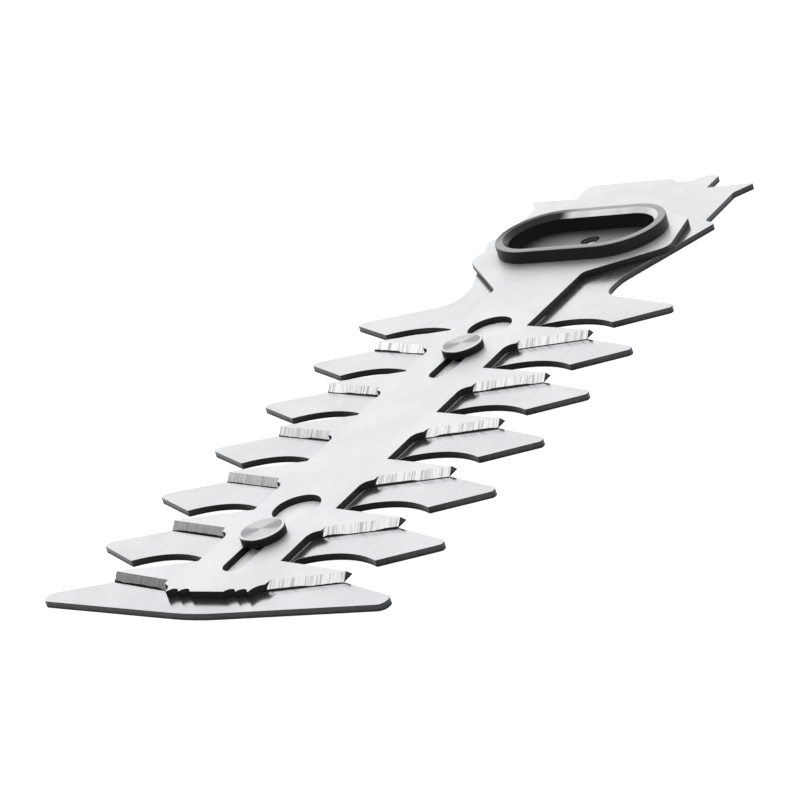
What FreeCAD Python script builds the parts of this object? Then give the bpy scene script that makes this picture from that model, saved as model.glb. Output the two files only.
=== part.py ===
"""Blade pair of a short cordless hedge trimmer: a fixed comb and a cutter that slides on it.

The frame has +Y towards the machine, +X to the right seen from above with the nose in front,
and +Z up. The origin is the centre of the drive pilot hole on the underside of the comb.
"""
import FreeCAD, Part
import Sketcher
import math
import os
import re
from collections import namedtuple

# Driving dimensions in millimetres, and counts.
SIZES = {
    # Sheet thicknesses, running gaps and seats
    "lower_thickness": 1.2,
    "upper_thickness": 1.25,
    "slide_gap": 0.05,
    "head_gap": 0.05,
    "seat_clearance": 0.02,
    # Teeth of the comb, measured from the line of their knuckles
    "pitch": 17.0,
    "tooth_rows": 6,
    "rear_row_setback": 39.5,
    "spine_half": 9.0,
    "knuckle_reach": 24.4,
    "tip_reach": 33.8,
    "scallop_radius": 15.5,
    "scallop_start": 0.4,
    "tip_front": 5.0,
    "tip_back": 6.4,
    "back_rise": 8.9,
    "tip_front_round": 0.5,
    "tip_back_round": 1.1,
    "throat_round": 1.0,
    # Nose bar of the comb
    "nose_lead": 0.2,
    "nose_sweep": 3.7,
    "nose_tip_round": 1.5,
    "nose_round": 40.0,
    # Rear plate of the comb
    "waist_half": 16.4,
    "waist_end": 19.5,
    "waist_round": 9.0,
    "armpit_round": 4.5,
    "shoulder_half": 25.4,
    "shoulder_place": 3.8,
    "shoulder_jog": 1.6,
    "shoulder_round": 1.0,
    "plate_half": 22.6,
    "plate_end": 18.9,
    "ear_half": 25.5,
    "ear_end": 23.3,
    "ear_slope": 0.6,
    "ear_round": 0.5,
    "tang_half": 15.0,
    "tang_end": 29.6,
    "tang_ease": 0.9,
    "tang_round": 0.8,
    "notch_near": 3.9,
    "notch_near_slope": 2.6,
    "notch_floor": 3.2,
    "notch_far_slope": 2.1,
    "notch_depth": 2.2,
    "notch_round": 1.0,
    "pilot_diameter": 3.8,
    # Guide rivets
    "rivet_setback": 51.15,
    "rivet_spacing": 68.0,
    "shank_diameter": 4.0,
    "head_diameter": 7.7,
    "head_thickness": 1.6,
    "head_chamfer": 0.3,
    "sink_depth": 0.6,
    # Cutter at mid-stroke, and where it stands in its stroke
    "cutter_shift": -2.6,
    "half_stroke": 5.9,
    "cutter_half": 8.2,
    "cutter_lead": 6.35,
    "cutter_tooth_place": 14.05,
    "cutter_tooth_reach": 22.8,
    "cutter_tip_half": 1.4,
    "cutter_root_half": 4.5,
    "bevel_run": 1.3,
    "root_flare": 1.7,
    "root_round": 2.1,
    "grind_runout": 0.3,
    "slot_clearance": 0.1,
    "slot_end_clearance": 0.35,
    "keyhole_diameter": 8.5,
    "keyhole_place": 12.6,
    "nick_radius": 1.15,
    "nick_depth": 0.85,
    "nick_place": 5.65,
    "nick_spacing": 2.3,
    # Neck and lobe of the cutter, measured from the centre of the collar
    "neck_right": 16.1,
    "neck_left": 21.7,
    "neck_round": 2.0,
    "lobe_half": 22.0,
    "lobe_front": 6.7,
    "lobe_front_round": 3.0,
    "lobe_back_half": 19.8,
    "lobe_back": 6.9,
    "lobe_corner_round": 0.8,
    "lobe_end_half": 10.0,
    "lobe_end": 14.2,
    "lobe_end_round": 4.0,
    # Drive collar
    "collar_length": 35.6,
    "collar_width": 20.3,
    "collar_height": 2.55,
    "collar_rim": 1.5,
    "collar_bevel": 1.0,
    "collar_edge": 0.25,
    "collar_step": 0.8,
}

# Levels and places that several sub-parts share, as expressions of the sizes.
CUTTER_LEVEL = "lower_thickness + slide_gap"
HEAD_LEVEL = f"{CUTTER_LEVEL} + upper_thickness + head_gap"
REAR_ROW = "-rear_row_setback"
NOSE_ROW = "-rear_row_setback - pitch * tooth_rows"
CUTTER_REAR_ROW = "-rear_row_setback - pitch + cutter_tooth_place"
CUTTER_FRONT = f"{NOSE_ROW} + cutter_tooth_place - cutter_lead"
REAR_RIVET = "-rivet_setback"
FRONT_RIVET = "-rivet_setback - rivet_spacing"
COLLAR_STRAIGHT = "(collar_length - collar_width) / 2"
COLLAR_RADIUS = "collar_width / 2"

TOUCH = 1e-4

Bend = namedtuple("Bend", "radius inwards")
HalfRound = namedtuple("HalfRound", "outwards")

doc = FreeCAD.newDocument("HedgeTrimmerBlade")
sheet = doc.addObject("Spreadsheet::Sheet", "Sizes")
for line, (alias, number) in enumerate(SIZES.items(), start=1):
    sheet.set(f"A{line}", alias)
    sheet.set(f"B{line}", str(number))
    sheet.setAlias(f"B{line}", alias)
doc.recompute()


def bound(text):
    """Point each size's name in an expression at its cell of the sheet."""
    return re.sub(r"[a-z_]+", lambda word: f"Sizes.{word[0]}" if word[0] in SIZES else word[0], text)


def value(text):
    """Work out an expression of the sizes as a number."""
    return float(sheet.evalExpression(bound(text)))


def place(corner):
    """Work out where a corner, a pair of expressions, lies in the plan."""
    return FreeCAD.Vector(value(corner[0]), value(corner[1]), 0)


def mirrored(tokens):
    """Give the left half of an outline from its right half, in the order that closes it."""
    return [(f"-({token[0]})", token[1]) if is_corner(token) else token for token in reversed(tokens)]


def is_corner(token):
    """Tell a corner of an outline from a curved edge between two corners."""
    return not isinstance(token, (Bend, HalfRound))


def both_sides(corners):
    """Give corners on the right together with their images on the left."""
    return list(corners) + mirrored(corners)


def new_body(label):
    """Start a sub-part, whose label names its file."""
    body = doc.addObject("PartDesign::Body", label)
    body.Label = label
    return body


def origin_feature(body, role):
    """Find one of the body's own planes or axes by its role."""
    return next(item for item in body.Origin.OriginFeatures if item.Role == role)


def new_sketch(body, name, plane="XY_Plane", height=None):
    """Attach a sketch to one of the body's own planes, raised by a height where one is given."""
    sketch = body.newObject("Sketcher::SketchObject", name)
    sketch.AttachmentSupport = [(origin_feature(body, plane), "")]
    sketch.MapMode = "FlatFace"
    if height:
        sketch.setExpression("AttachmentOffset.Base.z", bound(height))
    return sketch


def tie(sketch, kind, where, size):
    """Add one dimension to a sketch and bind it to the sheet."""
    number = sketch.addConstraint(Sketcher.Constraint(kind, *where, value(size)))
    sketch.setExpression(f"Constraints[{number}]", bound(size))


def tie_point(sketch, geometry, end, corner):
    """Bind a point of a sketch to a corner, measured from the sketch's origin."""
    tie(sketch, "DistanceX", (-1, 1, geometry, end), corner[0])
    tie(sketch, "DistanceY", (-1, 1, geometry, end), corner[1])


def arc_between(start, end, radius, inwards):
    """Make the arc between two places that bulges out of a counter-clockwise outline, or into it."""
    chord = end - start
    rise = math.sqrt(max(radius ** 2 - (chord.Length / 2) ** 2, 0.0))
    left = FreeCAD.Vector(-chord.y, chord.x, 0).normalize()
    centre = (start + end) / 2 + left * (-rise if inwards else rise)
    first, last = (end, start) if inwards else (start, end)
    angles = [math.atan2(spot.y - centre.y, spot.x - centre.x) for spot in (first, last)]
    if angles[1] <= angles[0]:
        angles[1] += 2 * math.pi
    circle = Part.Circle(centre, FreeCAD.Vector(0, 0, 1), radius)
    return Part.ArcOfCircle(circle, *angles)


def draw_outline(sketch, tokens):
    """Draw a closed outline, counter-clockwise, with every corner bound to the sheet."""
    corners = [token for token in tokens if is_corner(token)]
    curves = {}
    for before, token in zip(tokens, tokens[1:]):
        if not is_corner(token):
            curves[before] = token
    ends = []
    for start, end in zip(corners, corners[1:] + corners[:1]):
        curve = curves.get(start)
        if curve is None:
            number = sketch.addGeometry(Part.LineSegment(place(start), place(end)))
            ends.append((number, 1, 2))
        elif isinstance(curve, Bend):
            arc = arc_between(place(start), place(end), value(curve.radius), curve.inwards)
            number = sketch.addGeometry(arc)
            ends.append((number, 2, 1) if curve.inwards else (number, 1, 2))
            tie(sketch, "Radius", (number,), curve.radius)
        else:
            half = (place(end) - place(start)).Length / 2
            number = sketch.addGeometry(arc_between(place(start), place(end), half, not curve.outwards))
            ends.append((number, 1, 2) if curve.outwards else (number, 2, 1))
            level = abs((place(end) - place(start)).y) < TOUCH
            kind, size = ("DistanceY", start[1]) if level else ("DistanceX", start[0])
            tie(sketch, kind, (-1, 1, number, 3), size)
    for corner, here, last in zip(corners, ends, ends[-1:] + ends[:-1]):
        sketch.addConstraint(Sketcher.Constraint("Coincident", last[0], last[2], here[0], here[1]))
        tie_point(sketch, here[0], here[1], corner)


def draw_circle(sketch, centre, radius):
    """Draw a circle with its centre and radius bound to the sheet."""
    circle = Part.Circle(place(centre), FreeCAD.Vector(0, 0, 1), value(radius))
    number = sketch.addGeometry(circle)
    tie(sketch, "Radius", (number,), radius)
    tie_point(sketch, number, 3, centre)


def oblong(half_straight, radius):
    """Give the outline of a slot with round ends, lengthwise along X, round the origin."""
    right = [(half_straight, f"-({radius})"), HalfRound(outwards=True), (half_straight, radius)]
    return right + mirrored(right)


def add_pad(body, sketch, length):
    """Raise a sketch into a plate."""
    pad = body.newObject("PartDesign::Pad", f"{sketch.Name}Pad")
    pad.Profile = sketch
    pad.setExpression("Length", bound(length))
    doc.recompute()
    return pad


def add_pocket(body, sketch):
    """Cut a sketch through the whole plate that stands on it."""
    before = body.Shape.Volume
    pocket = body.newObject("PartDesign::Pocket", f"{sketch.Name}Pocket")
    pocket.Profile = sketch
    pocket.Type = "ThroughAll"
    pocket.Reversed = True
    doc.recompute()
    if body.Shape.Volume > before - TOUCH:
        raise RuntimeError(f"{pocket.Name} cuts nothing")
    return pocket


def add_row(body, original, spacing, count):
    """Repeat a feature towards the nose."""
    row = body.newObject("PartDesign::LinearPattern", f"{original.Name}Row")
    row.Originals = [original]
    row.Direction = (origin_feature(body, "Y_Axis"), [""])
    row.Reversed = True
    row.setExpression("Length", bound(f"{spacing} * ({count} - 1)"))
    row.setExpression("Occurrences", bound(count))
    body.Tip = row
    doc.recompute()
    return row


def edge_names(body, wanted):
    """Name the edges of a body's last feature that pass a test."""
    names = []
    for number, edge in enumerate(body.Tip.Shape.Edges, start=1):
        if wanted(edge):
            names.append(f"Edge{number}")
    return names


def upright_at(spots):
    """Test for upright edges over any of some places in the plan."""
    def wanted(edge):
        ends = [vertex.Point for vertex in edge.Vertexes]
        if len(ends) != 2 or math.hypot(ends[0].x - ends[1].x, ends[0].y - ends[1].y) > TOUCH:
            return False
        return any(math.hypot(ends[0].x - spot.x, ends[0].y - spot.y) < TOUCH for spot in spots)
    return wanted


def level_at(height):
    """Test for edges that lie wholly at one height."""
    def wanted(edge):
        box = edge.BoundBox
        return abs(box.ZMin - height) < TOUCH and abs(box.ZMax - height) < TOUCH
    return wanted


def dress_edges(body, kind, name, size, wanted, count):
    """Round or bevel the edges that pass a test, of which there must be a given count."""
    names = edge_names(body, wanted)
    if len(names) != count:
        raise RuntimeError(f"{name} finds {len(names)} edges, not {count}")
    base = body.Tip
    dressing = body.newObject(f"PartDesign::{kind}", name)
    dressing.Base = (base, names)
    dressing.setExpression("Radius" if kind == "Fillet" else "Size", bound(size))
    body.Tip = dressing
    doc.recompute()
    if not dressing.isValid():
        raise RuntimeError(f"{name} does not fit its edges")
    return dressing


def round_corners(body, name, radius, corners):
    """Round the upright edges over some corners of a plate."""
    spots = [place(corner) for corner in corners]
    return dress_edges(body, "Fillet", name, radius, upright_at(spots), len(spots))


def comb_rows(first, last):
    """Give the knuckle lines of the comb's rows, counted from the rear one."""
    return [f"{REAR_ROW} - pitch * {row}" for row in range(first, last + 1)]


def make_lower_blade():
    """Stamp the comb: rows of paired teeth on a spine, a nose bar, and a rear plate with a tang."""
    body = new_body("lower_blade")
    rows = int(value("tooth_rows"))

    back = [("tip_reach", f"{REAR_ROW} + tip_back"),
            ("spine_half", f"{REAR_ROW} + tip_back + back_rise"),
            ("spine_half", f"{REAR_ROW} + scallop_start + pitch")]
    right = [("spine_half", f"{REAR_ROW} + scallop_start"),
             Bend("scallop_radius", inwards=True),
             ("knuckle_reach", REAR_ROW),
             ("tip_reach", f"{REAR_ROW} + tip_front")] + back
    sketch = new_sketch(body, "ToothPair")
    draw_outline(sketch, right + mirrored(right))
    pair = add_pad(body, sketch, "lower_thickness")
    add_row(body, pair, "pitch", "tooth_rows")

    nose_vertex = ("0", f"{NOSE_ROW} + nose_lead")
    nose_tip = ("tip_reach", f"{NOSE_ROW} + nose_lead + nose_sweep")
    nose_back = [("tip_reach", f"{NOSE_ROW} + tip_back"),
                 ("spine_half", f"{NOSE_ROW} + tip_back + back_rise"),
                 ("spine_half", f"{NOSE_ROW} + scallop_start + pitch")]
    nose_right = [nose_tip] + nose_back
    sketch = new_sketch(body, "NoseBar")
    draw_outline(sketch, [nose_vertex] + nose_right + mirrored(nose_right))
    add_pad(body, sketch, "lower_thickness")

    waist = ("waist_half", "-waist_end")
    shoulder = ("shoulder_half", "shoulder_place")
    jog = ("plate_half", "shoulder_place + shoulder_jog")
    hook = ("plate_half", "plate_end")
    ear = ("ear_half", "ear_end")
    tang_root = ("tang_half", "ear_end - ear_slope")
    tang_corners = [("tang_half", "tang_end - tang_ease"),
                    ("tang_half - tang_ease", "tang_end")]
    plate_right = [("waist_half", f"{REAR_ROW} + tip_front"), waist, shoulder, jog, hook, ear, tang_root]
    plate_right += tang_corners
    sketch = new_sketch(body, "RearPlate")
    draw_outline(sketch, plate_right + mirrored(plate_right))
    add_pad(body, sketch, "lower_thickness")

    notch_left = "notch_near + notch_near_slope"
    notch_right = f"{notch_left} + notch_floor"
    notch_far = f"{notch_right} + notch_far_slope"
    notch_corners = [(notch_left, "tang_end - notch_depth"), (notch_right, "tang_end - notch_depth")]
    sketch = new_sketch(body, "TangNotch")
    draw_outline(sketch, [("notch_near", "tang_end")] + notch_corners
                 + [(notch_far, "tang_end"), (notch_far, "tang_end + notch_depth"),
                    ("notch_near", "tang_end + notch_depth")])
    add_pocket(body, sketch)

    sketch = new_sketch(body, "Holes")
    draw_circle(sketch, ("0", "0"), "pilot_diameter / 2")
    for rivet in (REAR_RIVET, FRONT_RIVET):
        draw_circle(sketch, ("0", rivet), "shank_diameter / 2 + seat_clearance")
    add_pocket(body, sketch)

    on_underside = level_at(0)
    mouth_length = math.pi * value("shank_diameter + 2 * seat_clearance")

    def rivet_mouth(edge):
        return on_underside(edge) and abs(edge.Length - mouth_length) < TOUCH
    dress_edges(body, "Chamfer", "RivetSinks", "sink_depth", rivet_mouth, 2)

    tip_fronts = [("tip_reach", f"{row} + tip_front") for row in comb_rows(0, rows - 1)]
    round_corners(body, "TipFronts", "tip_front_round", both_sides(tip_fronts))
    tip_backs = [("tip_reach", f"{row} + tip_back") for row in comb_rows(0, rows)]
    round_corners(body, "TipBacks", "tip_back_round", both_sides(tip_backs))
    throats = [("spine_half", f"{row} + tip_back + back_rise") for row in comb_rows(1, rows)]
    throats += [("spine_half", f"{row} + scallop_start") for row in comb_rows(0, rows - 1)]
    round_corners(body, "ThroatRoots", "throat_round", both_sides(throats))
    round_corners(body, "NoseTips", "nose_tip_round", both_sides([nose_tip]))
    round_corners(body, "NoseCrown", "nose_round", [nose_vertex])
    back_share = "(tip_reach - waist_half) / (tip_reach - spine_half)"
    armpit = ("waist_half", f"{REAR_ROW} + tip_back + back_rise * {back_share}")
    round_corners(body, "Armpits", "armpit_round", both_sides([armpit]))
    round_corners(body, "Waist", "waist_round", both_sides([waist]))
    round_corners(body, "Shoulders", "shoulder_round", both_sides([shoulder, jog]))
    round_corners(body, "Ears", "ear_round", both_sides([hook, ear, tang_root]))
    round_corners(body, "TangCorners", "tang_round", both_sides(tang_corners))
    round_corners(body, "NotchFloor", "notch_round", notch_corners)
    round_corners(body, "NotchLips", "notch_round", [("notch_near", "tang_end"), (notch_far, "tang_end")])
    return body


def make_upper_blade():
    """Stamp and grind the cutter: bevelled tooth pairs, keyhole slots and a lobe for the collar."""
    body = new_body("upper_blade")
    body.setExpression("Placement.Base.z", bound(CUTTER_LEVEL))
    body.setExpression("Placement.Base.y", bound("cutter_shift"))

    neck_right = ("cutter_half", "-neck_right")
    neck_left = ("-cutter_half", "-neck_left")
    lobe_front = ("lobe_half", "-lobe_front")
    lobe_back = ("lobe_back_half", "lobe_back")
    lobe_end = ("lobe_end_half", "lobe_end")
    lobe = [lobe_front, lobe_back, lobe_end]
    sketch = new_sketch(body, "Spine")
    draw_outline(sketch, [("-cutter_half", CUTTER_FRONT), ("cutter_half", CUTTER_FRONT), neck_right]
                 + lobe + mirrored(lobe) + [neck_left])
    add_pad(body, sketch, "upper_thickness")
    round_corners(body, "Neck", "neck_round", [neck_right, neck_left])
    round_corners(body, "LobeFront", "lobe_front_round", both_sides([lobe_front]))
    round_corners(body, "LobeCorners", "lobe_corner_round", both_sides([lobe_back]))
    round_corners(body, "LobeEnd", "lobe_end_round", both_sides([lobe_end]))

    taper = "(cutter_root_half - cutter_tip_half) / (cutter_tooth_reach - cutter_half)"
    wall_half = "(cutter_root_half + root_flare)"
    flare_half = f"(cutter_root_half - root_flare * {taper})"
    levels = [("CuttingEdges", None, "0"), ("ToothLand", "upper_thickness", "bevel_run")]
    sections = []
    for name, height, narrowing in levels:
        ground_half = f"(cutter_root_half - (root_flare + grind_runout) * {taper} - {narrowing})"
        tip_half = f"(cutter_tip_half - {narrowing})"
        right = [("cutter_half", f"{CUTTER_REAR_ROW} - {wall_half}"),
                 Bend("root_round", inwards=True),
                 ("cutter_half + root_flare", f"{CUTTER_REAR_ROW} - {flare_half}"),
                 ("cutter_half + root_flare + grind_runout", f"{CUTTER_REAR_ROW} - {ground_half}"),
                 ("cutter_tooth_reach", f"{CUTTER_REAR_ROW} - {tip_half}"),
                 ("cutter_tooth_reach", f"{CUTTER_REAR_ROW} + {tip_half}"),
                 ("cutter_half", f"{CUTTER_REAR_ROW} + cutter_root_half - {narrowing}")]
        section = new_sketch(body, name, height=height)
        draw_outline(section, right + mirrored(right))
        sections.append(section)
    teeth = body.newObject("PartDesign::AdditiveLoft", "GroundTeeth")
    teeth.Profile = sections[0]
    teeth.Sections = sections[1:]
    teeth.Ruled = True
    doc.recompute()
    add_row(body, teeth, "pitch", "tooth_rows")

    slot_half = "shank_diameter / 2 + slot_clearance"
    sketch = new_sketch(body, "GuideSlot")
    slot_front = f"{REAR_RIVET} - half_stroke - slot_end_clearance"
    slot_rear = f"{REAR_RIVET} + keyhole_place"
    draw_outline(sketch, [(f"-({slot_half})", slot_front), HalfRound(outwards=True),
                          (slot_half, slot_front), (slot_half, slot_rear), (f"-({slot_half})", slot_rear)])
    slot = add_pocket(body, sketch)
    add_row(body, slot, "rivet_spacing", "2")
    sketch = new_sketch(body, "Keyholes")
    for rivet in (REAR_RIVET, FRONT_RIVET):
        draw_circle(sketch, ("0", f"{rivet} + keyhole_place"), "keyhole_diameter / 2")
    add_pocket(body, sketch)

    nick_line = f"{CUTTER_FRONT} + nick_depth - nick_radius"
    for side in ("-", "+"):
        sketch = new_sketch(body, "NearNicks" if side == "-" else "FarNicks")
        centre = (f"nick_place {side} nick_spacing / 2", nick_line)
        for spot in both_sides([centre]):
            draw_circle(sketch, spot, "nick_radius")
        add_pocket(body, sketch)

    sketch = new_sketch(body, "CollarSeat")
    draw_outline(sketch, oblong(COLLAR_STRAIGHT, f"{COLLAR_RADIUS} - collar_step + seat_clearance"))
    add_pocket(body, sketch)
    return body


def make_guide_rivet(label, rivet):
    """Turn a shoulder rivet: a flat head over the cutter, a shank, and a tail set in its sink."""
    body = new_body(label)
    body.setExpression("Placement.Base.y", bound(rivet))
    shank = "shank_diameter / 2"
    head = "head_diameter / 2"
    top = f"{HEAD_LEVEL} + head_thickness"
    sketch = new_sketch(body, f"{label}_profile", plane="XZ_Plane")
    draw_outline(sketch, [("0", "0"), (f"{shank} + sink_depth", "0"), (shank, "sink_depth"),
                          (shank, HEAD_LEVEL), (head, HEAD_LEVEL), (head, f"{top} - head_chamfer"),
                          (f"{head} - head_chamfer", top), ("0", top)])
    turning = body.newObject("PartDesign::Revolution", f"{label}_turning")
    turning.Profile = sketch
    turning.ReferenceAxis = (origin_feature(body, "Z_Axis"), [""])
    turning.Angle = 360
    doc.recompute()
    return body


def make_drive_collar():
    """Form the oblong ring that the eccentric runs in: a skirt in the cutter under a wider rim."""
    body = new_body("drive_collar")
    body.setExpression("Placement.Base.z", bound(CUTTER_LEVEL))
    body.setExpression("Placement.Base.y", bound("cutter_shift"))
    sketch = new_sketch(body, "Skirt")
    draw_outline(sketch, oblong(COLLAR_STRAIGHT, f"{COLLAR_RADIUS} - collar_step"))
    add_pad(body, sketch, "upper_thickness")
    sketch = new_sketch(body, "Ring", height="upper_thickness")
    draw_outline(sketch, oblong(COLLAR_STRAIGHT, COLLAR_RADIUS))
    add_pad(body, sketch, "collar_height")
    sketch = new_sketch(body, "DriveSlot")
    draw_outline(sketch, oblong(COLLAR_STRAIGHT, f"{COLLAR_RADIUS} - collar_rim - collar_bevel"))
    add_pocket(body, sketch)

    on_top = level_at(value("upper_thickness + collar_height"))
    middle = value(f"{COLLAR_RADIUS} - collar_rim")

    def inner_edge(edge):
        box = edge.BoundBox
        return on_top(edge) and max(abs(box.YMin), abs(box.YMax)) < middle
    dress_edges(body, "Chamfer", "InnerBevel", "collar_bevel", inner_edge, 4)

    def outer_edge(edge):
        box = edge.BoundBox
        return on_top(edge) and max(abs(box.YMin), abs(box.YMax)) > middle + TOUCH
    dress_edges(body, "Fillet", "OuterEdge", "collar_edge", outer_edge, 4)
    return body


def write_parts(bodies):
    """Check every object and every solid, then write each sub-part under its label."""
    for item in doc.Objects:
        if "Invalid" in item.State or "Error" in item.State:
            raise RuntimeError(f"{item.Name} failed: {item.State}")
    for body in bodies:
        if body.Shape.isNull() or not body.Shape.isValid() or len(body.Shape.Solids) != 1:
            raise RuntimeError(f"{body.Label} is not one sound solid")
    os.makedirs("parts", exist_ok=True)
    for body in bodies:
        body.Shape.exportStep(f"parts/{body.Label}.step")
        print(body.Label, round(body.Shape.Volume, 2), body.Shape.BoundBox)


write_parts([make_lower_blade(), make_upper_blade(),
             make_guide_rivet("front_guide_rivet", FRONT_RIVET),
             make_guide_rivet("rear_guide_rivet", REAR_RIVET),
             make_drive_collar()])
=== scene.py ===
"""Looks of a hedge trimmer blade: dressed sheet steel, turned rivets and a blackened drive collar.

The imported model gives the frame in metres, with +Y towards the machine, +X to the right and +Z up.
Sizes in this file are in millimetres where a name ends in _mm, and in metres elsewhere.
"""
from __future__ import annotations

import logging
import math
from dataclasses import dataclass, field
from enum import Enum

import bmesh
import bpy
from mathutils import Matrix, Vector


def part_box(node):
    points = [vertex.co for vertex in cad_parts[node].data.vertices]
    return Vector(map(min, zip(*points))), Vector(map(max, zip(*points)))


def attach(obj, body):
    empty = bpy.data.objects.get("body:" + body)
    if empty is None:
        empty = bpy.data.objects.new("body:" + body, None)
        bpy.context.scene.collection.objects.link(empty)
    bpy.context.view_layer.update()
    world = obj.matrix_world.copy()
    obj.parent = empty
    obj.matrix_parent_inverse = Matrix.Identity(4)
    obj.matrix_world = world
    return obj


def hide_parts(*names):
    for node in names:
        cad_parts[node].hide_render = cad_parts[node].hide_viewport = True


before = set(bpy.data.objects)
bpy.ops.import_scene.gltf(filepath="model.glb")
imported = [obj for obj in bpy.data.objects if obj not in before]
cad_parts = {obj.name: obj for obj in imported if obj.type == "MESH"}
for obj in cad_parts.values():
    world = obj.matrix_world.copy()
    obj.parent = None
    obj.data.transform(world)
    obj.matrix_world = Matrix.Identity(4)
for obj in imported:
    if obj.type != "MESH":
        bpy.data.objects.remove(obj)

LOG = logging.getLogger("hedge_trimmer_blade")
MM = 0.001

# Points closer than this are one, and faces that turn less than this are one plane.
WELD = 1.0e-6
FLAT_ANGLE = math.radians(0.4)
SHARP_ANGLE = math.radians(28.0)
# A face is level, or upright, by the height of its normal.
LEVEL_SHARE = 0.97
UPRIGHT_SHARE = 0.2
# The length over which a strip along a blade starts and ends.
STRIP_FADE_MM = 2.0
# The range that holds most of a noise's values.
NOISE_LOW = 0.3
NOISE_HIGH = 0.7
# The weight at which only the largest faces shape the normals.
LARGEST_FACES = 100

Colour = tuple[float, float, float]
Socket = bpy.types.NodeSocket
WHITE: Colour = (1.0, 1.0, 1.0)


class Surface(Enum):
    """The kinds of face that a stamped blade has, in the order of its material slots."""

    SHEET = 0
    WALL = 1
    BEVEL = 2


class CollarSurface(Enum):
    """The kinds of face that the drive collar has, in the order of its material slots."""

    WALL = 0
    RIM = 1
    BEVEL = 2


class RivetSurface(Enum):
    """The kinds of face that a rivet has, in the order of its material slots."""

    FACE = 0
    SIDE = 1


def opaque(colour: Colour) -> tuple[float, float, float, float]:
    """Give a colour its full alpha."""
    return (*colour, 1.0)


class Graph:
    """A node tree under construction."""

    def __init__(self, tree: bpy.types.NodeTree) -> None:
        """Keep the tree that nodes are added to.

        Args:
            tree: The material's, world's or group's node tree.
        """
        self.tree = tree

    def add(self, kind: str, **settings: object) -> bpy.types.Node:
        """Add a node.

        Args:
            kind: The node's type name, without the ShaderNode prefix.
            **settings: Properties of the node and their values.

        Returns:
            The new node.
        """
        node = self.tree.nodes.new(f"ShaderNode{kind}")
        for name, setting in settings.items():
            setattr(node, name, setting)
        return node

    def feed(self, socket: Socket, value: object) -> None:
        """Link a socket into an input, or set the input to a plain value.

        Args:
            socket: The input.
            value: The socket that feeds it, or its value.
        """
        if isinstance(value, bpy.types.NodeSocket):
            self.tree.links.new(value, socket)
        else:
            socket.default_value = value

    def math(self, operation: str, *values: object) -> Socket:
        """Add a Math node.

        Args:
            operation: The node's operation.
            *values: Sockets or numbers for its inputs.

        Returns:
            The result's socket.
        """
        node = self.add("Math", operation=operation)
        for socket, value in zip(node.inputs, values):
            self.feed(socket, value)
        return node.outputs[0]

    def vector(self, operation: str, *values: object) -> bpy.types.Node:
        """Add a Vector Math node.

        Args:
            operation: The node's operation.
            *values: Sockets or vectors for its inputs.

        Returns:
            The node, whose result is its Vector or its Value.
        """
        node = self.add("VectorMath", operation=operation)
        for socket, value in zip(node.inputs, values):
            self.feed(socket, value)
        return node

    def noise(self, place: Socket, scale: object, detail: float = 2.0, rough: float = 0.5) -> Socket:
        """Add a Noise texture.

        Args:
            place: The coordinates that it is read at.
            scale: Its scale, in waves for each unit of the coordinates.
            detail: Its octaves.
            rough: The strength of the finer octaves.

        Returns:
            The socket of its value, about 0.5 on average.
        """
        node = self.add("TexNoise")
        self.feed(node.inputs["Vector"], place)
        self.feed(node.inputs["Scale"], scale)
        node.inputs["Detail"].default_value = detail
        node.inputs["Roughness"].default_value = rough
        return node.outputs["Fac"]

    def remap(self, value: object, low: object, high: object, to_low: object, to_high: object) -> Socket:
        """Map a value smoothly from one range to another, without leaving the second.

        Args:
            value: What is mapped.
            low: Where the first range starts.
            high: Where the first range ends.
            to_low: What low becomes.
            to_high: What high becomes.

        Returns:
            The result's socket.
        """
        node = self.add("MapRange", interpolation_type="SMOOTHSTEP")
        for name, given in zip(("Value", "From Min", "From Max", "To Min", "To Max"),
                               (value, low, high, to_low, to_high)):
            self.feed(node.inputs[name], given)
        return node.outputs["Result"]

    def spread(self, value: object, low: object = NOISE_LOW, high: object = NOISE_HIGH) -> Socket:
        """Map a range smoothly onto 0 to 1."""
        return self.remap(value, low, high, 0.0, 1.0)

    def between(self, share: Socket, first: object, second: object) -> Socket:
        """Go smoothly from one value to another while a share goes from 0 to 1."""
        return self.remap(share, 0.0, 1.0, first, second)

    def weigh(self, first: Socket, second: Socket, share: float) -> Socket:
        """Add two values by weight.

        Args:
            first: The value that has the share.
            second: The value that has the rest.
            share: The first one's weight, from 0 to 1.

        Returns:
            The sum's socket.
        """
        weighed = self.math("MULTIPLY", first, share)
        rest = self.math("MULTIPLY", second, 1.0 - share)
        return self.math("ADD", weighed, rest)

    def blend(self, share: Socket, first: object, second: object) -> Socket:
        """Mix two colours.

        Args:
            share: How much of the second one shows.
            first: A colour or its socket.
            second: A colour or its socket.

        Returns:
            The mixed colour's socket.
        """
        node = self.add("Mix", data_type="RGBA")
        self.feed(node.inputs["Factor"], share)
        for name, given in (("A", first), ("B", second)):
            socket = next(item for item in node.inputs if item.name == name and item.type == "RGBA")
            self.feed(socket, opaque(given) if isinstance(given, tuple) else given)
        return next(item for item in node.outputs if item.type == "RGBA")

    def bump(self, height: Socket, distance: float, strength: float) -> Socket:
        """Add a Bump node.

        Args:
            height: The socket of the height.
            distance: What a height of 1 stands for, in metres.
            strength: How much of the bump shows.

        Returns:
            The bent normal's socket.
        """
        node = self.add("Bump")
        self.feed(node.inputs["Height"], height)
        node.inputs["Distance"].default_value = distance
        node.inputs["Strength"].default_value = strength
        return node.outputs["Normal"]

    def group(self, effect: "Effect", **values: object) -> bpy.types.Node:
        """Place a shared effect.

        Args:
            effect: The effect, whose group is built once.
            **values: Sockets or numbers for its inputs.

        Returns:
            The group's node.
        """
        node = self.add("Group")
        node.node_tree = effect.tree()
        for name, value in values.items():
            self.feed(node.inputs[name], value)
        return node


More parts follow.
